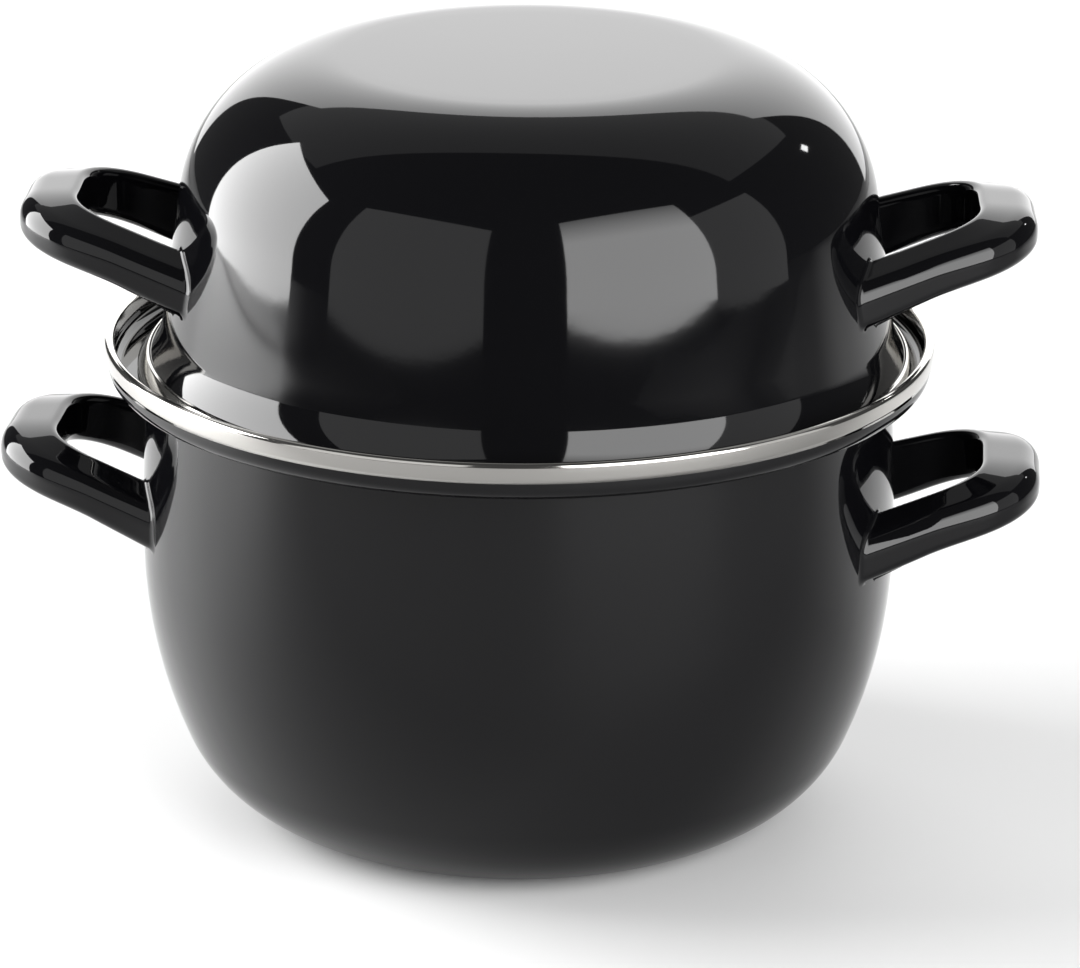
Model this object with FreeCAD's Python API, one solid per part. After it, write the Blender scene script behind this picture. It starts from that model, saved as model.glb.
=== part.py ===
import FreeCAD, Part
import math
import os
from FreeCAD import Vector

# Enamelled sheet-steel mussel pot with a deep lid that turns over into a bowl for the shells.
# Millimetres, +Z up. The origin is the centre of the pot's flat base. The pot's handles lie along X.

# Sheets
SHEET = 1.2                  # drawn steel with its enamel, pot and lid
HANDLE_SHEET = 1.2           # pressed handle sheet with its enamel
STRIP = 0.4                  # stainless strip of the rim bands
STRIP_GAP = 0.1              # room between the enamelled edge and the strip rolled over it

# Pot body, outside sizes
BODY_RADIUS = 110.0          # the widest place of the wall
WIDEST_HEIGHT = 80.0
BASE_RADIUS = 62.0           # flat underside
BASE_CORNER_RADIUS = 40.0    # lower arc of the belly
NECK_RADIUS = 108.0          # where the wall bends out under the collar
NECK_HEIGHT = 128.6
NECK_BEND_RADIUS = 3.0
LIP_RADIUS = 119.3           # outside of the upright lip
LIP_CORNER_RADIUS = 4.2      # the bend from the ledge up to the lip
LIP_RUN = 5.8                # the lip's straight part

# Lid body, outside sizes
LID_FLAT_RADIUS = 54.5
LID_SHOULDER_RADIUS = 46.0
LID_WALL_LEAN = 8.0          # degrees from vertical, wider downwards
LID_WALL_RUN = 36.2
LID_FLARE_RADIUS = 26.0
LID_FLARE_LEAN = 38.0        # degrees from vertical at the edge
LID_EDGE_RUN = 2.8           # straight edge inside the band
LID_SHIFT = 2.4              # the lid lies this far to one side in the collar's play
LID_TURN = 3.0               # degrees by which the lid is turned as it was put down

# Rim bands, both rolled from the same strip
BAND_LEG = 4.35              # from the sheet's edge to the strip's open edges
BAND_BEAD_RADIUS = 1.45      # the rounded bead over the sheet's edge

# Handles, all from the same pressing
POT_HANDLE_CREST = 112.5     # crest at the outer end, above the base
LID_HANDLE_DROP = 39.5       # crest at the outer end, below the lid's flat top
POT_HANDLE_END = 135.6       # inner line of the outer end, from the pot's axis
LID_HANDLE_END = 128.5       # the same, from the lid's axis
HANDLE_TILT = 19.0           # degrees, rising outwards
GRIP_HALF_WIDTH = 29.6       # inner line of an arm from the middle, at the corner
GRIP_CORNER_RADIUS = 20.0    # inner line's corner
ARM_SPREAD = 2.0             # degrees by which the arms part towards the wall
ARM_WIDTH = 12.0
END_WIDTH = 17.0
ARM_HEIGHT_OUTSIDE = 17.5
ARM_HEIGHT_INSIDE = 14.5
END_HEIGHT = 15.0
SECTION_FULLNESS = 2.6       # 2 is an ellipse, more is squarer
CREST_LEAN = 0.12            # share of the width by which the crest leans inwards
SLOT_HALF_ANGLE = 40.0       # half of the open slot underneath, seen from the section's middle
ROOT_DEPTH = 6.0             # the loop runs on into the wall by this before it is cut to it
CORNER_STATIONS = 4          # cross-sections round each corner of the loop
SKIN_POINTS = 13             # points across the pressed sheet, from lip to lip


# Turned sheets

def ahead(heading):
    """Unit vector along a heading in the profile's plane, X outwards and Z up."""
    return Vector(math.cos(heading), 0, math.sin(heading))


def left_of(heading):
    return Vector(-math.sin(heading), 0, math.cos(heading))


def follow(start, heading, steps, offset=0.0):
    """Edges of tangent lines and arcs, drawn this far to the left of the path.

    A step is ("line", length) or ("arc", radius, turn in degrees, left positive).
    """
    edges = []
    place = start
    for step in steps:
        begin = place + left_of(heading) * offset
        if step[0] == "line":
            place = place + ahead(heading) * step[1]
            edges.append(Part.makeLine(begin, place + left_of(heading) * offset))
            continue
        turn = math.radians(step[2])
        reach = math.copysign(step[1], turn)
        centre = place + left_of(heading) * reach
        middle = centre - left_of(heading + turn / 2) * (reach - offset)
        heading = heading + turn
        place = centre - left_of(heading) * reach
        end = place + left_of(heading) * offset
        edges.append(Part.Arc(begin, middle, end).toShape())
    return edges, place, heading


def turned_sheet(start, heading, steps, thickness):
    """A turned shell whose one face follows the path; a positive thickness lies to the left."""
    face_edges, end, end_heading = follow(start, heading, steps)
    back_edges = follow(start, heading, steps, thickness)[0]
    last = Part.makeLine(end, end + left_of(end_heading) * thickness)
    edges = face_edges + [last] + back_edges[::-1]
    if start.x > 0:
        edges.append(Part.makeLine(start + left_of(heading) * thickness, start))
    else:
        edges.append(Part.makeLine(Vector(0, 0, start.z + thickness), start))
    return Part.Face(Part.Wire(edges)).revolve(Vector(0, 0, 0), Vector(0, 0, 1), 360)


def turned_solid(start, heading, steps):
    """The solid inside a turned outline that starts on the axis."""
    edges, end, _ = follow(start, heading, steps)
    foot = Vector(0, 0, end.z)
    edges = edges + [Part.makeLine(end, foot), Part.makeLine(foot, start)]
    return Part.Face(Part.Wire(edges)).revolve(Vector(0, 0, 0), Vector(0, 0, 1), 360)


def rim_band(start, heading, steps, side):
    """A strip rolled over the edge of a turned sheet: two legs and a round bead."""
    _, end, end_heading = follow(start, heading, steps)
    edge = end + left_of(end_heading) * (side * SHEET / 2)
    leg_foot = SHEET / 2 + STRIP_GAP + STRIP
    swell = BAND_BEAD_RADIUS - leg_foot
    leg_radius = (BAND_LEG ** 2 + swell ** 2) / (2 * swell)
    leg_turn = math.degrees(math.asin(BAND_LEG / leg_radius))
    foot = edge - ahead(end_heading) * BAND_LEG + left_of(end_heading) * leg_foot
    bead = [("arc", leg_radius, -leg_turn), ("arc", BAND_BEAD_RADIUS, -180), ("arc", leg_radius, -leg_turn)]
    return turned_sheet(foot, end_heading + math.radians(leg_turn), bead, -STRIP)


# Pot body

def pot_outline():
    """The pot's outside, from the middle of the base to the edge of the lip."""
    width = BODY_RADIUS - BASE_RADIUS
    rise = WIDEST_HEIGHT - BASE_CORNER_RADIUS
    belly_radius = (width ** 2 + rise ** 2 - BASE_CORNER_RADIUS ** 2) / (2 * (width - BASE_CORNER_RADIUS))
    corner_turn = 90 - math.degrees(math.atan2(rise, belly_radius - width))
    barrel_rise = NECK_HEIGHT - WIDEST_HEIGHT
    barrel_inset = BODY_RADIUS - NECK_RADIUS
    barrel_radius = (barrel_rise ** 2 + barrel_inset ** 2) / (2 * barrel_inset)
    lean = math.degrees(math.asin(barrel_rise / barrel_radius))
    ledge_start = NECK_RADIUS + NECK_BEND_RADIUS * math.cos(math.radians(lean))
    return [
        ("line", BASE_RADIUS),
        ("arc", BASE_CORNER_RADIUS, corner_turn),
        ("arc", belly_radius, 90 - corner_turn),
        ("arc", barrel_radius, lean),
        ("arc", NECK_BEND_RADIUS, -90 - lean),
        ("line", LIP_RADIUS - LIP_CORNER_RADIUS - ledge_start),
        ("arc", LIP_CORNER_RADIUS, 90),
        ("line", LIP_RUN),
    ]


# Lid body

LID_OUTLINE = [
    ("line", LID_FLAT_RADIUS),
    ("arc", LID_SHOULDER_RADIUS, LID_WALL_LEAN - 90),
    ("line", LID_WALL_RUN),
    ("arc", LID_FLARE_RADIUS, LID_FLARE_LEAN - LID_WALL_LEAN),
    ("line", LID_EDGE_RUN),
]


def lid_top_height(ledge):
    """Height of the lid's flat top when its band rests on the ledge."""
    _, end, heading = follow(Vector(0, 0, 0), 0.0, LID_OUTLINE)
    edge = end - left_of(heading) * (SHEET / 2)
    return ledge + BAND_BEAD_RADIUS - edge.z


# Handles

def skin(width, inside_height, outside_height, inset):
    """Points across one face of the pressed sheet, from the outer lip over the crest to the inner lip.

    X is outwards from the loop's inner line and Z is down from the crest.
    """
    middle_height = (inside_height + outside_height) / 2
    half_width = width / 2
    power = 2 / SECTION_FULLNESS
    first = math.radians(SLOT_HALF_ANGLE - 90)
    last = math.radians(270 - SLOT_HALF_ANGLE)
    points = []
    for i in range(SKIN_POINTS):
        angle = first + (last - first) * i / (SKIN_POINTS - 1)
        across = math.copysign(abs(math.cos(angle)) ** power, math.cos(angle))
        up = math.copysign(abs(math.sin(angle)) ** power, math.sin(angle))
        height = middle_height
        if up < 0:
            height = middle_height + (outside_height - inside_height) * across
        lean = CREST_LEAN * width * max(0.0, math.sin(angle)) ** 2
        x = half_width + (half_width - inset) * across - lean
        z = -middle_height / 2 + (height / 2 - inset) * up
        points.append(Vector(x, 0, z))
    return points


def section(width, inside_height, outside_height):
    """Closed wire of the pressed sheet's cross-section, open underneath."""
    faces = []
    for inset in (0.0, HANDLE_SHEET):
        curve = Part.BSplineCurve()
        curve.interpolate(skin(width, inside_height, outside_height, inset))
        faces.append(curve.toShape())
    outer, inner = faces
    inner_lip = Part.makeLine(outer.Vertexes[1].Point, inner.Vertexes[1].Point)
    outer_lip = Part.makeLine(inner.Vertexes[0].Point, outer.Vertexes[0].Point)
    inner.reverse()
    return Part.Wire([outer, inner_lip, inner, outer_lip])


def loop_stations(end_x, root_x):
    """Places along the loop's inner line: x, y, heading in degrees, and how far it is an arm (1) or the end (0)."""
    corner_x = end_x - GRIP_CORNER_RADIUS
    centre_y = GRIP_HALF_WIDTH - GRIP_CORNER_RADIUS
    spread = math.tan(math.radians(ARM_SPREAD))
    arm = []
    for share in (0.0, 0.5):
        x = root_x + (corner_x - root_x) * share
        arm.append((x, -GRIP_HALF_WIDTH - (corner_x - x) * spread, ARM_SPREAD, 1.0))
    for i in range(CORNER_STATIONS):
        share = i / (CORNER_STATIONS - 1)
        turn = math.radians(90 * share)
        x = corner_x + GRIP_CORNER_RADIUS * math.sin(turn)
        y = -centre_y - GRIP_CORNER_RADIUS * math.cos(turn)
        arm.append((x, y, ARM_SPREAD + (90 - ARM_SPREAD) * share, 1.0 - share))
    back = [(x, -y, 180 - heading, share) for x, y, heading, share in arm]
    return arm + [(end_x, 0.0, 90.0, 0.0)] + back[::-1]


def pressed_handle(end_x, crest, wall_radius, wall):
    """A loop pressed from sheet, its ends cut to the wall that they are welded to."""
    root_x = math.sqrt(wall_radius ** 2 - (GRIP_HALF_WIDTH + ARM_WIDTH) ** 2) - ROOT_DEPTH
    slope = math.tan(math.radians(HANDLE_TILT))
    wires = []
    for x, y, heading, arm_share in loop_stations(end_x, root_x):
        width = END_WIDTH + (ARM_WIDTH - END_WIDTH) * arm_share
        inside = END_HEIGHT + (ARM_HEIGHT_INSIDE - END_HEIGHT) * arm_share
        outside = END_HEIGHT + (ARM_HEIGHT_OUTSIDE - END_HEIGHT) * arm_share
        wire = section(width, inside, outside)
        wire.rotate(Vector(0, 0, 0), Vector(0, 0, 1), heading - 90)
        wire.translate(Vector(x, y, crest - (end_x - x) * slope))
        wires.append(wire)
    loop = Part.makeLoft(wires, True, False)
    return loop.cut(wall)


# Assembly

def mirrored(shape):
    return shape.rotated(Vector(0, 0, 0), Vector(0, 0, 1), 180)


def lid_laid_down(shape):
    """The lid as it lies in the collar: a little turned, and a little to one side."""
    turned = shape.rotated(Vector(0, 0, 0), Vector(0, 0, 1), LID_TURN)
    return turned.translated(Vector(LID_SHIFT, 0, 0))


def build():
    base = Vector(0, 0, 0)
    outline = pot_outline()
    ledge = follow(base, 0.0, outline[:6])[1].z + SHEET
    top = Vector(0, 0, lid_top_height(ledge))
    lid_wall_radius = LID_FLAT_RADIUS + LID_SHOULDER_RADIUS * math.cos(math.radians(LID_WALL_LEAN))
    pot_handle = pressed_handle(POT_HANDLE_END, POT_HANDLE_CREST, NECK_RADIUS, turned_solid(base, 0.0, outline))
    lid_crest = top.z - LID_HANDLE_DROP
    lid_handle = pressed_handle(LID_HANDLE_END, lid_crest, lid_wall_radius, turned_solid(top, 0.0, LID_OUTLINE))
    nodes = {
        "pot_body": turned_sheet(base, 0.0, outline, SHEET),
        "pot_rim_band": rim_band(base, 0.0, outline, 1),
        "pot_handle_right": pot_handle,
        "pot_handle_left": mirrored(pot_handle),
        "lid_body": lid_laid_down(turned_sheet(top, 0.0, LID_OUTLINE, -SHEET)),
        "lid_rim_band": lid_laid_down(rim_band(top, 0.0, LID_OUTLINE, -1)),
        "lid_handle_right": lid_laid_down(lid_handle),
        "lid_handle_left": lid_laid_down(mirrored(lid_handle)),
    }
    return nodes


os.makedirs("parts", exist_ok=True)
for name, shape in build().items():
    shape.exportStep("parts/" + name + ".step")
    print(name, shape.ShapeType, "solids", len(shape.Solids), "valid", shape.isValid(), round(shape.Volume))
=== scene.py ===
import math

import bpy
from bpy.props import FloatProperty, IntProperty, PointerProperty, StringProperty
from mathutils import Matrix, Vector


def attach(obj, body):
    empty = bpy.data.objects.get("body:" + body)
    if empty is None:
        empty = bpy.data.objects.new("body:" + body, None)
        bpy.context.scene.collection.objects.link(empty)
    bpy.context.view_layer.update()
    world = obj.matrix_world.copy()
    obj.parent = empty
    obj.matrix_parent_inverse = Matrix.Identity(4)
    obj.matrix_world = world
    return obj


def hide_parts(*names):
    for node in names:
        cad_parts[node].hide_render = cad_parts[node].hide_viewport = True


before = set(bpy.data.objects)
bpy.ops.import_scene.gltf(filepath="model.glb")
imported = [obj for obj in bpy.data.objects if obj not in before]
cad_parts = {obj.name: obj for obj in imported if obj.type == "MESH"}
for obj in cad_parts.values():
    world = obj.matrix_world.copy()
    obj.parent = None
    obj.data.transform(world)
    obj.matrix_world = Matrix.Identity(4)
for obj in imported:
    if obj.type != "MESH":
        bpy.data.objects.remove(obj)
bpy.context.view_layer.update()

bl_info = {
    "name": "Mussel pot",
    "version": (1, 0, 0),
    "blender": (4, 5, 0),
    "location": "View3D > Sidebar > Mussel pot",
    "description": "Spins the enamelled pot and its bowl-shaped lid, presses the handles, rolls the rim bands",
    "category": "Object",
}

# Turned pieces
ARC_STEP = math.radians(3.0)       # turn between two points of an outline's arc
BEAD_STEP = math.radians(9.0)      # the same, round a rim band's bead
LINE_STEP = 0.006                  # length between two points of an outline's line
LEAST_ARC_PARTS = 4
EDGE_PARTS = 6                     # parts of the half round at a sheet's edge
EDGE_BULGE = 0.5                   # that half round is flattened to this share
AXIS_RADIUS = 1e-7                 # a point nearer to the axis than this lies on it

# Handles
PARTS = 8                          # parts of each line and arc of the cross-section
DEPTH_SWELL = 0.7                  # below 1, an arm's skirt is already deep halfway to the wall
ARM_PLACES = 6                     # cross-sections along an arm
CORNER_PLACES = 30                 # cross-sections round a corner
END_PLACES = 3                     # cross-sections from a corner to the middle of the outer end
WELD_PARTS = 6                     # parts of the weld's quarter round
ARM_SIGHT = 0.012                  # an arm's direction at the wall is taken over this length
LONGEST_ROOT = 0.05                # the wall lies nearer to an arm's last place than this
SEARCH_ROUNDS = 18                 # halvings of that length in the search for the wall
HANDLE_ROOM = 0.06                 # a handle meets the wall no further than this above or below its crest

# Finishes
POLISH_STRETCH = 50                # the polish lines are this many times longer than wide

# Stage
FADED = 0.3                        # share of a softbox's light that is left where it fades out
LEAST_FADE = 0.001                 # share of the height that the ramp needs in a softbox that doesn't fade
PAPER_REACH = 2.2                  # the paper's edge, from the pot
PAPER_FRONT_SHADE = 0.45                 # painted shade: share of the paper's colour that mirrored rays find in front of the pot
PAINTED_LIGHT_LEAN = (-0.35, 1.0, 0.0)     # painted light: the paper's colour grows lighter this way, to the back and a little to the left
PAINTED_SHADE_FROM, PAINTED_SHADE_TO = -0.2, 0.1  # where that painted light and shade begins and ends
ROOM_LIGHT = 0.09                  # the dim studio round the stage
SENSOR_WIDTH = 36.0                # mm
NEAREST, FURTHEST = 0.05, 20.0     # what the camera shows


def length(name, description, default):
    """A size in metres that the user can change in the panel."""
    return FloatProperty(name=name, description=description, default=default, unit="LENGTH", precision=5)


def angle(name, description, degrees):
    """An angle that the user can change in the panel, its default in degrees."""
    return FloatProperty(name=name, description=description, default=math.radians(degrees), subtype="ANGLE")


class PotSizes(bpy.types.PropertyGroup):
    sheet: length("Sheet", "Steel with its enamel", 0.0012)
    body_radius: length("Body radius", "The widest place of the wall", 0.110)
    widest_height: length("Widest height", "Height of the widest place", 0.080)
    belly_reach: length("Belly reach", "From the edge of the flat underside out to the widest place", 0.048)
    base_corner_radius: length("Base corner", "Lower arc of the belly", 0.040)
    neck_inset: length("Neck inset", "The wall draws in by this up to the bend under the collar", 0.002)
    neck_rise: length("Neck rise", "From the widest place up to that bend", 0.0486)
    neck_bend_radius: length("Neck bend", "Bend from the wall out to the ledge", 0.003)
    collar_width: length("Collar width", "From the neck to the outside of the upright lip", 0.0113)
    lip_corner_radius: length("Lip corner", "Bend from the ledge up to the lip", 0.0042)
    lip_run: length("Lip run", "The lip's straight part", 0.0058)


class LidSizes(bpy.types.PropertyGroup):
    edge_room: length("Edge room", "From the inside of the pot's lip to the lid's edge", 0.006)
    shoulder_radius: length("Shoulder", "The arc from the top to the wall", 0.046)
    wall_lean: angle("Wall lean", "From upright, wider downwards", 8.0)
    wall_run: length("Wall run", "Straight part of the wall", 0.03805)
    flare_radius: length("Flare", "The arc that turns the edge out", 0.020)
    flare_lean: angle("Flare lean", "From upright, at the edge", 38.0)
    edge_run: length("Edge run", "Straight edge inside the band", 0.0041)
    shift: length("Shift", "How far the lid lies to one side in the collar's play", 0.0024)
    turn: angle("Turn", "How far the lid is turned as it was put down", 3.0)


class BandSizes(bpy.types.PropertyGroup):
    strip: length("Strip", "Thickness of the stainless strip", 0.0004)
    gap: length("Gap", "Room between the edge and the strip", 0.0001)
    leg: length("Leg", "From the sheet's edge to the strip's open edges", 0.00435)
    bead_radius: length("Bead", "Round bead over the edge", 0.00145)


class HandleSizes(bpy.types.PropertyGroup):
    sheet: length("Sheet", "Pressed sheet with its enamel", 0.0012)
    pot_reach: length("Pot handle's reach", "From the pot's neck to the inner line of the outer end", 0.0268)
    lid_reach: length("Lid handle's reach", "The same, from the lid's wall under the shoulder", 0.0285)
    pot_drop: length("Pot handle's drop", "Crest at the outer end, below the ledge", 0.0212)
    uneven: length("Uneven", "The left pot handle was welded on higher than the right one by this", 0.0018)
    lid_drop: length("Lid handle's drop", "The same, below the lid's top", 0.0399)
    tilt: angle("Tilt", "Rise outwards", 18.8)
    end_run: length("End run", "Straight part of the outer end, on the inner line", 0.0166)
    corner_radius: length("Corner", "Inner line's corner", 0.017)
    spread: angle("Spread", "By which each arm parts from the other towards the wall", 13.5)
    arm_width: length("Arm width", "Across an arm, from above", 0.012)
    end_width: length("End width", "Across the outer end, from above", 0.0170)
    crest_radius: length("Crest", "Rounding of the crest over the inner face", 0.0022)
    arm_fall: angle("Arm's top", "By which an arm's top falls outwards", 22.0)
    end_fall: angle("End's top", "By which the outer end's top falls outwards", 4.0)
    shoulder_radius: length("Shoulder", "Rounding from the top to the outer face", 0.0065)
    lip_bend: length("Lip bend", "The sheet's edges are turned in underneath", 0.003)
    lip_run: length("Lip run", "Straight edge of the turned-in lips", 0.0003)
    root_inside: length("Root inside", "Upright part of the inner face, at the wall", 0.0160)
    root_outside: length("Root outside", "Upright part of the outer face, at the wall", 0.0055)
    end_inside: length("End inside", "Upright part of the inner face, at the outer end", 0.0082)
    end_outside: length("End outside", "Upright part of the outer face, at the outer end", 0.0017)
    root_depth: length("Root depth", "The pressing is laid out on into the wall by this", 0.008)
    weld: length("Weld", "Radius of the enamelled weld at the wall", 0.0016)


class Finishes(bpy.types.PropertyGroup):
    enamel: StringProperty(name="Enamel", description="Black enamel, sRGB hex", default="#08080A")
    steel: StringProperty(name="Steel", description="Polished stainless strip, sRGB hex", default="#C9C7C3")
    paper: StringProperty(name="Floor", description="White paper sweep, sRGB hex", default="#F2F2F2")
    flow: length("Flow", "Spacing of the slow waves in which the enamel flowed", 0.045)
    flow_height: length("Flow height", "Height of those waves", 0.000012)
    peel: length("Orange peel", "Spacing of the enamel's fine waviness", 0.0035)
    peel_height: length("Orange peel height", "Height of that waviness", 0.0000015)
    polish: length("Polish lines", "Spacing of the polishing lines on the strip", 0.0003)
    polish_height: length("Polish line height", "Height of those lines", 0.000004)


class StageSizes(bpy.types.PropertyGroup):
    azimuth: angle("Azimuth", "Camera round the pot, from the front towards the right handle", 5.0)
    elevation: angle("Elevation", "Camera above the horizon", 19.6)
    distance: length("Distance", "Camera from its aim", 1.4)
    aim_height: length("Aim height", "Height of the camera's aim", 0.095)
    aim_side: length("Aim side", "The aim lies this far to the right", 0.0062)
    lens: FloatProperty(name="Lens", description="Focal length in mm on a 36 mm sensor", default=159.0)
    roll: angle("Roll", "Turn of the camera about its view", 0.36)
    around: IntProperty(name="Segments", description="Segments round a turned piece", default=288)


# Outlines

def heading_vector(heading):
    return Vector((math.cos(heading), math.sin(heading)))


def left_of(heading):
    return Vector((-math.sin(heading), math.cos(heading)))


def walk(start, heading, steps, offset=0.0, arc_step=ARC_STEP, even=0):
    """Points (radius, height) along tangent lines and arcs, drawn this far to the left of the path.

    A step is ("line", length) or ("arc", radius, turn), left positive. With even, each step has that many parts.
    """
    place = Vector(start)
    points = [place + left_of(heading) * offset]
    for step in steps:
        if step[0] == "line":
            count = even or max(1, round(step[1] / LINE_STEP))
            for i in range(1, count + 1):
                points.append(place + heading_vector(heading) * (step[1] * i / count) + left_of(heading) * offset)
            place = place + heading_vector(heading) * step[1]
            continue
        turn = step[2]
        reach = math.copysign(step[1], turn)
        centre = place + left_of(heading) * reach
        count = even or max(LEAST_ARC_PARTS, round(abs(turn) / arc_step))
        for i in range(1, count + 1):
            points.append(centre - left_of(heading + turn * i / count) * (reach - offset))
        heading = heading + turn
        place = centre - left_of(heading) * reach
    return points, place, heading


def neck_radius(pot):
    return pot.body_radius - pot.neck_inset


def pot_outline(pot):
    """The pot's outside, from the middle of the base to the edge of the lip."""
    rise = pot.widest_height - pot.base_corner_radius
    slack = pot.belly_reach - pot.base_corner_radius
    belly = (pot.belly_reach ** 2 + rise ** 2 - pot.base_corner_radius ** 2) / (2 * slack)
    corner_turn = math.radians(90) - math.atan2(rise, belly - pot.belly_reach)
    barrel = (pot.neck_rise ** 2 + pot.neck_inset ** 2) / (2 * pot.neck_inset)
    lean = math.asin(pot.neck_rise / barrel)
    bend_reach = pot.neck_bend_radius * math.cos(lean)
    return [
        ("line", pot.body_radius - pot.belly_reach),
        ("arc", pot.base_corner_radius, corner_turn),
        ("arc", belly, math.radians(90) - corner_turn),
        ("arc", barrel, lean),
        ("arc", pot.neck_bend_radius, -math.radians(90) - lean),
        ("line", pot.collar_width - pot.lip_corner_radius - bend_reach),
        ("arc", pot.lip_corner_radius, math.radians(90)),
        ("line", pot.lip_run),
    ]


def lid_outline(scene):
    """The lid's outside, from the middle of the top down to the edge."""
    pot, lid = scene.pot_sizes, scene.lid_sizes
    slope = [
        ("arc", lid.shoulder_radius, lid.wall_lean - math.radians(90)),
        ("line", lid.wall_run),
        ("arc", lid.flare_radius, lid.flare_lean - lid.wall_lean),
        ("line", lid.edge_run),
    ]
    edge_radius = neck_radius(pot) + pot.collar_width - pot.sheet - lid.edge_room
    flat_radius = edge_radius - walk((0, 0), 0.0, slope)[1].x
    return [("line", flat_radius)] + slope


def ledge_height(pot):
    return walk((0, 0), 0.0, pot_outline(pot)[:6])[1].y + pot.sheet


def lid_top(scene):
    """Height of the lid's flat top when its band rests on the ledge."""
    _, end, heading = walk((0, 0), 0.0, lid_outline(scene))
    edge = end - left_of(heading) * (scene.pot_sizes.sheet / 2)
    return ledge_height(scene.pot_sizes) + scene.band_sizes.bead_radius - edge.y


def wall_radius(outline_points, height):
    """Radius of a turned wall at a height."""
    for a, b in zip(outline_points, outline_points[1:]):
        low, high = min(a.y, b.y), max(a.y, b.y)
        if low <= height <= high and low < high:
            return a.x + (b.x - a.x) * (height - a.y) / (b.y - a.y)
    return outline_points[-1].x


# Meshes

def piece(name, vertices, faces, uvs=None):
    """A smooth-shaded mesh object."""
    mesh = bpy.data.meshes.new(name)
    mesh.from_pydata([tuple(v) for v in vertices], [], faces)
    if uvs:
        layer = mesh.uv_layers.new(name="length_m")
        for loop in mesh.loops:
            layer.data[loop.index].uv = uvs[loop.vertex_index]
    mesh.polygons.foreach_set("use_smooth", [True] * len(mesh.polygons))
    mesh.update()
    made = bpy.data.objects.new(name, mesh)
    bpy.context.scene.collection.objects.link(made)
    return made


def spin(name, section, around):
    """Turns a closed section about Z. Points on the axis become one vertex."""
    vertices, uvs, rings = [], [], []
    run = 0.0
    for i, point in enumerate(section):
        if i:
            run += (point - section[i - 1]).length
        if point.x < AXIS_RADIUS:
            rings.append([len(vertices)] * around)
            vertices.append(Vector((0, 0, point.y)))
            uvs.append((0.0, run))
            continue
        rings.append(list(range(len(vertices), len(vertices) + around)))
        for k in range(around):
            turn = 2 * math.pi * k / around
            vertices.append(Vector((point.x * math.cos(turn), point.x * math.sin(turn), point.y)))
            uvs.append((point.x * turn, run))
    faces = []
    for a, b in zip(rings, rings[1:] + rings[:1]):
        if a[0] == a[1] and b[0] == b[1]:
            continue
        for k in range(around):
            n = (k + 1) % around
            corners = [a[k], a[n], b[n], b[k]]
            faces.append(list(dict.fromkeys(corners)))
    return piece(name, vertices, faces, uvs)


def shell_section(start, heading, steps, thickness):
    """Closed section of an evenly thick turned sheet with a round edge, starting on the axis."""
    face, end, end_heading = walk(start, heading, steps)
    back = walk(start, heading, steps, thickness)[0]
    edge = end + left_of(end_heading) * (thickness / 2)
    round_edge = []
    for i in range(1, EDGE_PARTS):
        turn = math.pi * i / EDGE_PARTS - math.pi / 2
        across = left_of(end_heading) * (math.sin(turn) * thickness / 2)
        out = heading_vector(end_heading) * (math.cos(turn) * abs(thickness) / 2 * EDGE_BULGE)
        round_edge.append(edge + across + out)
    return face + round_edge + back[::-1]


def band_section(start, heading, steps, side, sheet, band):
    """Closed section of the strip rolled over a sheet's edge."""
    _, end, end_heading = walk(start, heading, steps)
    edge = end + left_of(end_heading) * (side * sheet / 2)
    leg_foot = sheet / 2 + band.gap + band.strip
    swell = band.bead_radius - leg_foot
    leg_radius = (band.leg ** 2 + swell ** 2) / (2 * swell)
    leg_turn = math.asin(band.leg / leg_radius)
    foot = edge - heading_vector(end_heading) * band.leg + left_of(end_heading) * leg_foot
    bead = [("arc", leg_radius, -leg_turn), ("arc", band.bead_radius, -math.pi), ("arc", leg_radius, -leg_turn)]
    first = end_heading + leg_turn
    outside = walk(foot, first, bead, 0.0, BEAD_STEP)[0]
    inside = walk(foot, first, bead, -band.strip, BEAD_STEP)[0]
    return outside + inside[::-1]


# Handles

def pressed_section(handle, width, fall, inside_run, outside_run, grow):
    """The sheet's closed cross-section: (outwards from the inner line, up from the crest), open underneath.

    Towards the wall it grows into the weld; the turned-in lips don't.
    """
    crest_width = handle.crest_radius * (1 + math.sin(fall))
    shoulder_width = handle.shoulder_radius * (1 - math.sin(fall))
    quarter = math.radians(90)
    steps = [
        ("line", handle.lip_run),
        ("arc", handle.lip_bend, -quarter),
        ("line", inside_run),
        ("arc", handle.crest_radius, -quarter - fall),
        ("line", (width - crest_width - shoulder_width) / math.cos(fall)),
        ("arc", handle.shoulder_radius, fall - quarter),
        ("line", outside_run),
        ("arc", handle.lip_bend, -quarter),
        ("line", handle.lip_run),
    ]
    start = (handle.lip_bend + handle.lip_run, -handle.crest_radius - inside_run - handle.lip_bend)
    plain = walk(start, math.pi, steps, 0.0, even=PARTS)[0]
    grown = walk(start, math.pi, steps, grow, even=PARTS)[0]
    last = len(plain) - 1
    outer = [a.lerp(b, min(1.0, i / (2 * PARTS), (last - i) / (2 * PARTS)))
             for i, (a, b) in enumerate(zip(plain, grown))]
    inner = walk(start, math.pi, steps, -handle.sheet, even=PARTS)[0]
    return outer + inner[::-1]


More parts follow.
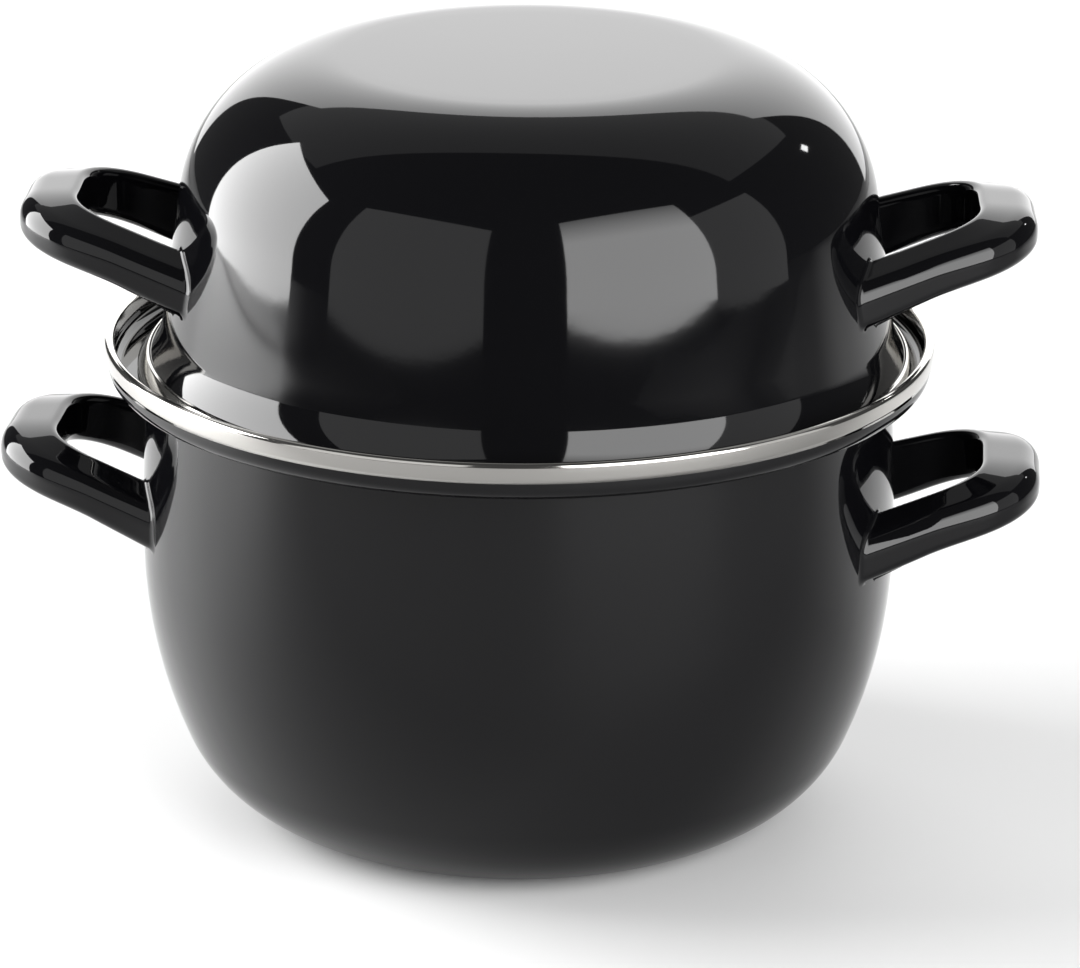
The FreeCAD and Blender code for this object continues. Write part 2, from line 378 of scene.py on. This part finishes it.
def loop_places(handle, end_x, wall):
    """Places along the loop's inner line: x, y, heading, share of the turn to the end, share of the way to the root.

    The corner's curve begins and ends softly, and its middle lies where a plain arc would put it.
    """
    turn = math.radians(90) - handle.spread
    corner_y = handle.end_run / 2 + handle.corner_radius * math.tan(turn / 2)
    shares = [i / CORNER_PLACES for i in range(CORNER_PLACES + 1)]
    headings = [handle.spread + turn * s * s * (3 - 2 * s) for s in shares]
    curve = [Vector((0, 0))]
    for a, b in zip(headings, headings[1:]):
        curve.append(curve[-1] + heading_vector((a + b) / 2) / CORNER_PLACES)
    meet = Vector((curve[-1].x, curve[-1].x * math.tan(handle.spread)))
    inset = (curve[CORNER_PLACES // 2] - meet).length
    size = handle.corner_radius * (1 / math.cos(turn / 2) - 1) / inset
    first = Vector((end_x, -corner_y)) - meet * size
    grip = handle.end_run / 2 + handle.corner_radius * math.cos(handle.spread)
    arm_x = end_x - handle.corner_radius * (1 - math.sin(handle.spread))
    wall_y = grip + (arm_x - wall) * math.tan(handle.spread) + handle.arm_width
    root_x = math.sqrt(wall ** 2 - wall_y ** 2) - handle.root_depth
    made = []
    arm_start = wall + handle.root_depth / 2
    for i in range(ARM_PLACES):
        x = arm_start + (first.x - arm_start) * i / ARM_PLACES
        made.append((x, first.y - (first.x - x) * math.tan(handle.spread), handle.spread, 0.0))
    for point, heading, s in zip(curve, headings, shares):
        made.append((first.x + point.x * size, first.y + point.y * size, heading, (heading - handle.spread) / turn))
    last_y = made[-1][1]
    for i in range(1, END_PLACES):
        made.append((end_x, last_y * (1 - i / END_PLACES), math.radians(90), 1.0))
    made += [(end_x, 0.0, math.radians(90), 1.0)] + [
        (x, -y, math.pi - heading, share) for x, y, heading, share in reversed(made)]
    return [place + ((end_x - place[0]) / (end_x - root_x),) for place in made]


def ring_at(handle, place, end_x, crest, grow=0.0):
    """The closed cross-section of the sheet at one place of the loop, in the row's axes."""
    x, y, heading, end_share, root_share = place
    blend = end_share ** 2 * (3 - 2 * end_share)
    depth_share = max(root_share, 0.0) ** DEPTH_SWELL
    section = pressed_section(
        handle,
        handle.arm_width + (handle.end_width - handle.arm_width) * blend,
        handle.arm_fall + (handle.end_fall - handle.arm_fall) * blend,
        handle.end_inside + (handle.root_inside - handle.end_inside) * depth_share,
        handle.end_outside + (handle.root_outside - handle.end_outside) * depth_share,
        grow,
    )
    level = crest - (end_x - x) * math.tan(handle.tilt)
    out = Vector((math.sin(heading), -math.cos(heading), 0))
    return [Vector((x, y, level)) + out * p.x + Vector((0, 0, p.y)) for p in section]


def reach_wall(point, direction, outline_points):
    """How far along a direction the wall's surface lies, found by halving."""
    low, high = 0.0, LONGEST_ROOT
    for _ in range(SEARCH_ROUNDS):
        middle = (low + high) / 2
        p = point + direction * middle
        if math.hypot(p.x, p.y) > wall_radius(outline_points, p.z):
            low = middle
        else:
            high = middle
    return low


def root_rings(handle, place, end_x, crest, outline_points):
    """Cross-sections at the wall, turning out into the weld."""
    x, y, heading, _, root_share = place
    side = 1 if y > 0 else -1
    growth = root_share / (end_x - x)
    rings = []
    along = [(handle.weld, 0.0)]
    for i in range(1, WELD_PARTS + 1):
        turn = math.radians(90) * i / WELD_PARTS
        along.append((handle.weld * (1 - math.sin(turn)), handle.weld * (1 - math.cos(turn))))
    for short, flare in along:
        near = ring_at(handle, place, end_x, crest, flare)
        further_place = (x - ARM_SIGHT, y + side * ARM_SIGHT * math.tan(handle.spread), heading, 0.0,
                         root_share + growth * ARM_SIGHT)
        further = ring_at(handle, further_place, end_x, crest, flare)
        ring = []
        for a, b in zip(near, further):
            direction = (b - a).normalized()
            ring.append(a + direction * (reach_wall(a, direction, outline_points) - short))
        rings.append(ring)
    return rings


def pressed_handle(name, handle, end_x, crest, wall, outline_points, side):
    """A loop of pressed sheet, its two ends welded to the wall."""
    places = loop_places(handle, end_x, wall)
    near_wall = [p for p in outline_points if abs(p.y - crest) < HANDLE_ROOM]
    rings = [ring_at(handle, place, end_x, crest) for place in places]
    start = root_rings(handle, places[0], end_x, crest, near_wall)
    finish = root_rings(handle, places[-1], end_x, crest, near_wall)
    rings = start[::-1] + rings + finish
    count = len(rings[0])
    vertices = [v for ring in rings for v in ring]
    faces = []
    for r in range(len(rings) - 1):
        for i in range(count):
            n = (i + 1) % count
            faces.append([r * count + i, r * count + n, (r + 1) * count + n, (r + 1) * count + i])
    last = (len(rings) - 1) * count
    for base, forward in ((0, True), (last, False)):
        for i in range(count // 2 - 1):
            cap = [base + i, base + i + 1, base + count - 2 - i, base + count - 1 - i]
            faces.append(cap if forward else cap[::-1])
    if side < 0:
        vertices = [Vector((-v.x, -v.y, v.z)) for v in vertices]
    return piece(name, vertices, faces)


# Materials

def linear(hex_colour):
    """sRGB hex to the linear colour that the shader takes."""
    channels = [int(hex_colour[i:i + 2], 16) / 255 for i in (1, 3, 5)]
    return [c / 12.92 if c <= 0.04045 else ((c + 0.055) / 1.055) ** 2.4 for c in channels] + [1.0]


def add(tree, kind, settings=None, inputs=None):
    """Adds a node. Settings are its own options; inputs are values or sockets to link."""
    node = tree.nodes.new(kind)
    for key, value in (settings or {}).items():
        setattr(node, key, value)
    for key, value in (inputs or {}).items():
        if isinstance(value, bpy.types.NodeSocket):
            tree.links.new(value, node.inputs[key])
        else:
            node.inputs[key].default_value = value
    return node


def new_material(name):
    material = bpy.data.materials.new(name)
    material.use_nodes = True
    material.node_tree.nodes.clear()
    return material, material.node_tree


def fired_enamel(finish):
    """Black vitreous enamel, fired on steel: a deep glassy black that mirrors windows and floor.

    The eye sees sharp reflections that waver a little, because the glass flowed before it set. Enamel glass has
    an IOR of about 1.5, here matched to 1.44, and a fire-polished face, so its roughness is near nothing.
    """
    material, tree = new_material("fired_black_enamel")
    place = add(tree, "ShaderNodeTexCoord").outputs["Object"]
    flow = add(tree, "ShaderNodeTexNoise", inputs={"Vector": place, "Scale": 1 / finish.flow, "Detail": 1.0})
    peel = add(tree, "ShaderNodeTexNoise", inputs={"Vector": place, "Scale": 1 / finish.peel, "Detail": 2.0})
    wave = add(tree, "ShaderNodeBump", inputs={
        "Strength": 1.0, "Distance": finish.flow_height, "Height": flow.outputs["Fac"]})
    bump = add(tree, "ShaderNodeBump", inputs={
        "Strength": 1.0, "Distance": finish.peel_height, "Height": peel.outputs["Fac"],
        "Normal": wave.outputs["Normal"]})
    gloss = add(tree, "ShaderNodeMapRange", inputs={
        "Value": flow.outputs["Fac"], "To Min": 0.02, "To Max": 0.06})
    shader = add(tree, "ShaderNodeBsdfPrincipled", inputs={
        "Base Color": linear(finish.enamel), "Roughness": gloss.outputs["Result"], "IOR": 1.44,
        "Normal": bump.outputs["Normal"]})
    add(tree, "ShaderNodeOutputMaterial", inputs={"Surface": shader.outputs["BSDF"]})
    return material


def polished_strip(finish):
    """Stainless strip, rolled and polished: the eye sees a bright mirror with faint lines along the rim."""
    material, tree = new_material("polished_stainless_strip")
    place = add(tree, "ShaderNodeUVMap", {"uv_map": "length_m"}).outputs["UV"]
    drawn_out = add(tree, "ShaderNodeMapping", inputs={"Vector": place, "Scale": (1 / POLISH_STRETCH, 1.0, 1.0)})
    lines = add(tree, "ShaderNodeTexNoise", inputs={
        "Vector": drawn_out.outputs["Vector"], "Scale": 1 / finish.polish, "Detail": 3.0})
    rough = add(tree, "ShaderNodeMapRange", inputs={"Value": lines.outputs["Fac"], "To Min": 0.05, "To Max": 0.13})
    bump = add(tree, "ShaderNodeBump", inputs={
        "Strength": 1.0, "Distance": finish.polish_height, "Height": lines.outputs["Fac"]})
    shader = add(tree, "ShaderNodeBsdfPrincipled", inputs={
        "Base Color": linear(finish.steel), "Metallic": 1.0, "Roughness": rough.outputs["Result"],
        "Normal": bump.outputs["Normal"]})
    add(tree, "ShaderNodeOutputMaterial", inputs={"Surface": shader.outputs["BSDF"]})
    return material


def paper_sweep(finish):
    """White background paper, matt, which the eye sees as an even pale ground with a soft shadow.

    In mirrored rays its colour holds painted shade, darker in front of the pot where the enamel of the pot's belly
    mirrors it, and painted light, lighter towards the back and a little to the left.
    """
    material, tree = new_material("paper_sweep_painted_shade")
    path = add(tree, "ShaderNodeLightPath")
    place = add(tree, "ShaderNodeTexCoord").outputs["Object"]
    # Painted light and shade: for mirrored rays the paper's colour ramps from dark in front of the pot to full
    # towards the back and left
    depth = add(tree, "ShaderNodeVectorMath", {"operation": "DOT_PRODUCT"}, {0: place, 1: PAINTED_LIGHT_LEAN})
    back = add(tree, "ShaderNodeMapRange", {"interpolation_type": "SMOOTHSTEP"}, {
        "Value": depth.outputs["Value"], "From Min": PAINTED_SHADE_FROM, "From Max": PAINTED_SHADE_TO})
    painted_light_share = add(tree, "ShaderNodeMath", {"operation": "MAXIMUM"}, {
        0: path.outputs["Is Camera Ray"], 1: back.outputs["Result"]})
    plain = linear(finish.paper)
    # Painted shade: mirrored rays in front of the pot find a darker copy of the paper's colour; the camera always
    # sees the plain colour
    white = add(tree, "ShaderNodeMix", {"data_type": "RGBA"}, {
        "Factor": painted_light_share.outputs[0], "A": [c * PAPER_FRONT_SHADE for c in plain[:3]] + [1.0], "B": plain})
    shader = add(tree, "ShaderNodeBsdfPrincipled", inputs={
        "Base Color": white.outputs["Result"], "Roughness": 0.6, "Specular IOR Level": 0.2})
    add(tree, "ShaderNodeOutputMaterial", inputs={"Surface": shader.outputs["BSDF"]})
    return material


def dress(made, material, node):
    """Gives a piece its finish and lets it stand for its node of the frame."""
    made.data.materials.append(material)
    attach(made, "root")
    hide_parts(node)


def named_material(name, maker, scene):
    """The material of that name, made once."""
    return bpy.data.materials.get(name) or maker(scene.pot_finishes)


def lay_down(made, lid):
    """Puts a piece of the lid where the lid lies: a little turned, and a little to one side."""
    made.data.transform(Matrix.Translation((lid.shift, 0, 0)) @ Matrix.Rotation(lid.turn, 4, "Z"))


# Pieces

class MUSSELPOT_OT_pot_body(bpy.types.Operator):
    """Spins the pot's shell"""
    bl_idname = "musselpot.pot_body"
    bl_label = "Pot body"

    def execute(self, context):
        scene = context.scene
        pot = scene.pot_sizes
        section = shell_section((0, 0), 0.0, pot_outline(pot), pot.sheet)
        made = spin("pot_shell", section, scene.stage_sizes.around)
        dress(made, named_material("fired_black_enamel", fired_enamel, scene), "pot_body")
        return {"FINISHED"}


class MUSSELPOT_OT_lid_body(bpy.types.Operator):
    """Spins the lid's shell and lays it in the collar"""
    bl_idname = "musselpot.lid_body"
    bl_label = "Lid body"

    def execute(self, context):
        scene = context.scene
        section = shell_section((0, lid_top(scene)), 0.0, lid_outline(scene), -scene.pot_sizes.sheet)
        made = spin("lid_shell", section, scene.stage_sizes.around)
        lay_down(made, scene.lid_sizes)
        dress(made, named_material("fired_black_enamel", fired_enamel, scene), "lid_body")
        return {"FINISHED"}


class MUSSELPOT_OT_rim_bands(bpy.types.Operator):
    """Rolls the steel strips over the pot's lip and the lid's edge"""
    bl_idname = "musselpot.rim_bands"
    bl_label = "Rim bands"

    def execute(self, context):
        scene = context.scene
        sheet = scene.pot_sizes.sheet
        band = scene.band_sizes
        steel = named_material("polished_stainless_strip", polished_strip, scene)
        section = band_section((0, 0), 0.0, pot_outline(scene.pot_sizes), 1, sheet, band)
        dress(spin("pot_band", section, scene.stage_sizes.around), steel, "pot_rim_band")
        section = band_section((0, lid_top(scene)), 0.0, lid_outline(scene), -1, sheet, band)
        made = spin("lid_band", section, scene.stage_sizes.around)
        lay_down(made, scene.lid_sizes)
        dress(made, steel, "lid_rim_band")
        return {"FINISHED"}


class MUSSELPOT_OT_handles(bpy.types.Operator):
    """Presses the four loop handles and welds them on"""
    bl_idname = "musselpot.handles"
    bl_label = "Handles"

    def execute(self, context):
        scene = context.scene
        handle = scene.handle_sizes
        enamel = named_material("fired_black_enamel", fired_enamel, scene)
        pot = scene.pot_sizes
        top = lid_top(scene)
        pot_wall = walk((0, 0), 0.0, pot_outline(pot))[0]
        lid_steps = lid_outline(scene)
        lid_wall = walk((0, top), 0.0, lid_steps)[0]
        pot_at = neck_radius(pot)
        lid_at = walk((0, top), 0.0, lid_steps[:2])[1].x
        pot_crest = ledge_height(pot) - handle.pot_drop
        for word, side in (("right", 1), ("left", -1)):
            made = pressed_handle(
                "pot_loop_" + word, handle, pot_at + handle.pot_reach, pot_crest - side * handle.uneven / 2,
                pot_at, pot_wall, side)
            dress(made, enamel, "pot_handle_" + word)
            made = pressed_handle(
                "lid_loop_" + word, handle, lid_at + handle.lid_reach, top - handle.lid_drop, lid_at, lid_wall, side)
            lay_down(made, scene.lid_sizes)
            dress(made, enamel, "lid_handle_" + word)
        return {"FINISHED"}


# Stage

def softbox(name, near, far, high, strength, fade=0.0):
    """An upright panel of light between two places, hidden from the camera but not from reflections.

    A place is (degrees to the right of the camera, distance and height of the lower edge in metres). With fade, the
    light falls off over this share of the height, at the top.
    """
    stage = bpy.context.scene.stage_sizes
    corners = []
    for degrees, distance, low in (near, far):
        turn = stage.azimuth + math.radians(degrees)
        corners.append(Vector((math.sin(turn) * distance, -math.cos(turn) * distance, low)))
    a, b = corners
    vertices = [a, b, Vector((b.x, b.y, high)), Vector((a.x, a.y, high))]
    made = piece(name, vertices, [[0, 1, 2, 3]], [(0, 0), (1, 0), (1, 1), (0, 1)])
    made.visible_camera = False
    material, tree = new_material(name)
    across = add(tree, "ShaderNodeUVMap", {"uv_map": "length_m"}).outputs["UV"]
    split = add(tree, "ShaderNodeSeparateXYZ", inputs={"Vector": across})
    ramp = add(tree, "ShaderNodeMapRange", inputs={
        "Value": split.outputs["Y"], "From Min": 1.0 - fade - LEAST_FADE, "From Max": 1.0,
        "To Min": strength, "To Max": strength * (FADED if fade else 1.0)})
    glow = add(tree, "ShaderNodeEmission", inputs={"Strength": ramp.outputs["Result"]})
    add(tree, "ShaderNodeOutputMaterial", inputs={"Surface": glow.outputs["Emission"]})
    made.data.materials.append(material)


def ceiling(name, near, far, height, strength):
    """A level panel of soft light over and behind the pot."""
    depth = far - near
    vertices = [(-depth, near, height), (-depth, far, height), (depth, far, height), (depth, near, height)]
    made = piece(name, vertices, [[0, 1, 2, 3]])
    made.visible_camera = False
    material, tree = new_material(name)
    glow = add(tree, "ShaderNodeEmission", inputs={"Strength": strength})
    add(tree, "ShaderNodeOutputMaterial", inputs={"Surface": glow.outputs["Emission"]})
    made.data.materials.append(material)


class MUSSELPOT_OT_stage(bpy.types.Operator):
    """Sets the paper, the softboxes, the dim room and the camera"""
    bl_idname = "musselpot.stage"
    bl_label = "Stage"

    def execute(self, context):
        scene = context.scene
        stage = scene.stage_sizes
        corners = [(x * PAPER_REACH, y * PAPER_REACH, 0) for x, y in ((-1, -1), (1, -1), (1, 1), (-1, 1))]
        floor = piece("paper", corners, [[0, 1, 2, 3]])
        floor.data.materials.append(paper_sweep(scene.pot_finishes))
        # The lower edges lie where the windows that the lid mirrors end on its wall.
        softbox("softbox_left", (-122, 1.25, 0.0), (-78, 1.6, 0.03), 1.25, 10.5)
        softbox("reflector_left", (-63, 1.5, 0.07), (-13, 1.5, 0.122), 1.35, 0.92)
        softbox("softbox_right", (12, 1.5, 0.132), (60, 1.5, 0.088), 1.6, 6.6, 0.4)
        softbox("reflector_right", (60, 1.52, 0.08), (88, 1.52, 0.03), 1.2, 0.8)
        softbox("backlight", (144, 1.5, 0.05), (208, 1.5, 0.05), 1.35, 2.25)
        softbox("small_lamp", (125.5, 1.5, 0.84), (128.5, 1.5, 0.84), 0.92, 12.0)
        ceiling("ceiling", 0.2, 2.1, 1.9, 0.36)
        world = bpy.data.worlds.new("dim_studio")
        scene.world = world
        world.use_nodes = True
        tree = world.node_tree
        tree.nodes.clear()
        path = add(tree, "ShaderNodeLightPath")
        level = add(tree, "ShaderNodeMapRange", inputs={
            "Value": path.outputs["Is Camera Ray"], "To Min": ROOM_LIGHT, "To Max": 1.0})
        room = add(tree, "ShaderNodeBackground", inputs={"Strength": level.outputs["Result"]})
        add(tree, "ShaderNodeOutputWorld", inputs={"Surface": room.outputs["Background"]})
        back = Vector((math.sin(stage.azimuth) * math.cos(stage.elevation),
                       -math.cos(stage.azimuth) * math.cos(stage.elevation), math.sin(stage.elevation)))
        side = Vector((math.cos(stage.azimuth), math.sin(stage.azimuth), 0))
        camera = bpy.data.objects.new("camera", bpy.data.cameras.new("camera"))
        scene.collection.objects.link(camera)
        camera.location = side * stage.aim_side + Vector((0, 0, stage.aim_height)) + back * stage.distance
        look = (-back).to_track_quat("-Z", "Y").to_matrix().to_4x4() @ Matrix.Rotation(stage.roll, 4, "Z")
        camera.rotation_euler = look.to_euler()
        camera.data.sensor_width = SENSOR_WIDTH
        camera.data.lens = stage.lens
        camera.data.clip_start = NEAREST
        camera.data.clip_end = FURTHEST
        scene.camera = camera
        scene.view_settings.view_transform = "Standard"
        return {"FINISHED"}


class MUSSELPOT_PT_panel(bpy.types.Panel):
    """Sizes and pieces of the mussel pot"""
    bl_idname = "MUSSELPOT_PT_panel"
    bl_label = "Mussel pot"
    bl_space_type = "VIEW_3D"
    bl_region_type = "UI"
    bl_category = "Mussel pot"

    def draw(self, context):
        for group in GROUPS:
            settings = getattr(context.scene, group)
            box = self.layout.box()
            for name in type(settings).__annotations__:
                box.prop(settings, name)
        for operator in OPERATORS:
            self.layout.operator(operator.bl_idname)


GROUPS = {
    "pot_sizes": PotSizes,
    "lid_sizes": LidSizes,
    "band_sizes": BandSizes,
    "handle_sizes": HandleSizes,
    "pot_finishes": Finishes,
    "stage_sizes": StageSizes,
}
OPERATORS = (
    MUSSELPOT_OT_pot_body,
    MUSSELPOT_OT_lid_body,
    MUSSELPOT_OT_rim_bands,
    MUSSELPOT_OT_handles,
    MUSSELPOT_OT_stage,
)


def register():
    for group, kind in GROUPS.items():
        bpy.utils.register_class(kind)
        setattr(bpy.types.Scene, group, PointerProperty(type=kind))
    for kind in OPERATORS + (MUSSELPOT_PT_panel,):
        bpy.utils.register_class(kind)


def unregister():
    for kind in (MUSSELPOT_PT_panel,) + OPERATORS[::-1]:
        bpy.utils.unregister_class(kind)
    for group, kind in GROUPS.items():
        delattr(bpy.types.Scene, group)
        bpy.utils.unregister_class(kind)


def main():
    register()
    bpy.ops.musselpot.pot_body()
    bpy.ops.musselpot.lid_body()
    bpy.ops.musselpot.rim_bands()
    bpy.ops.musselpot.handles()
    bpy.ops.musselpot.stage()


if __name__ == "__main__":
    main()
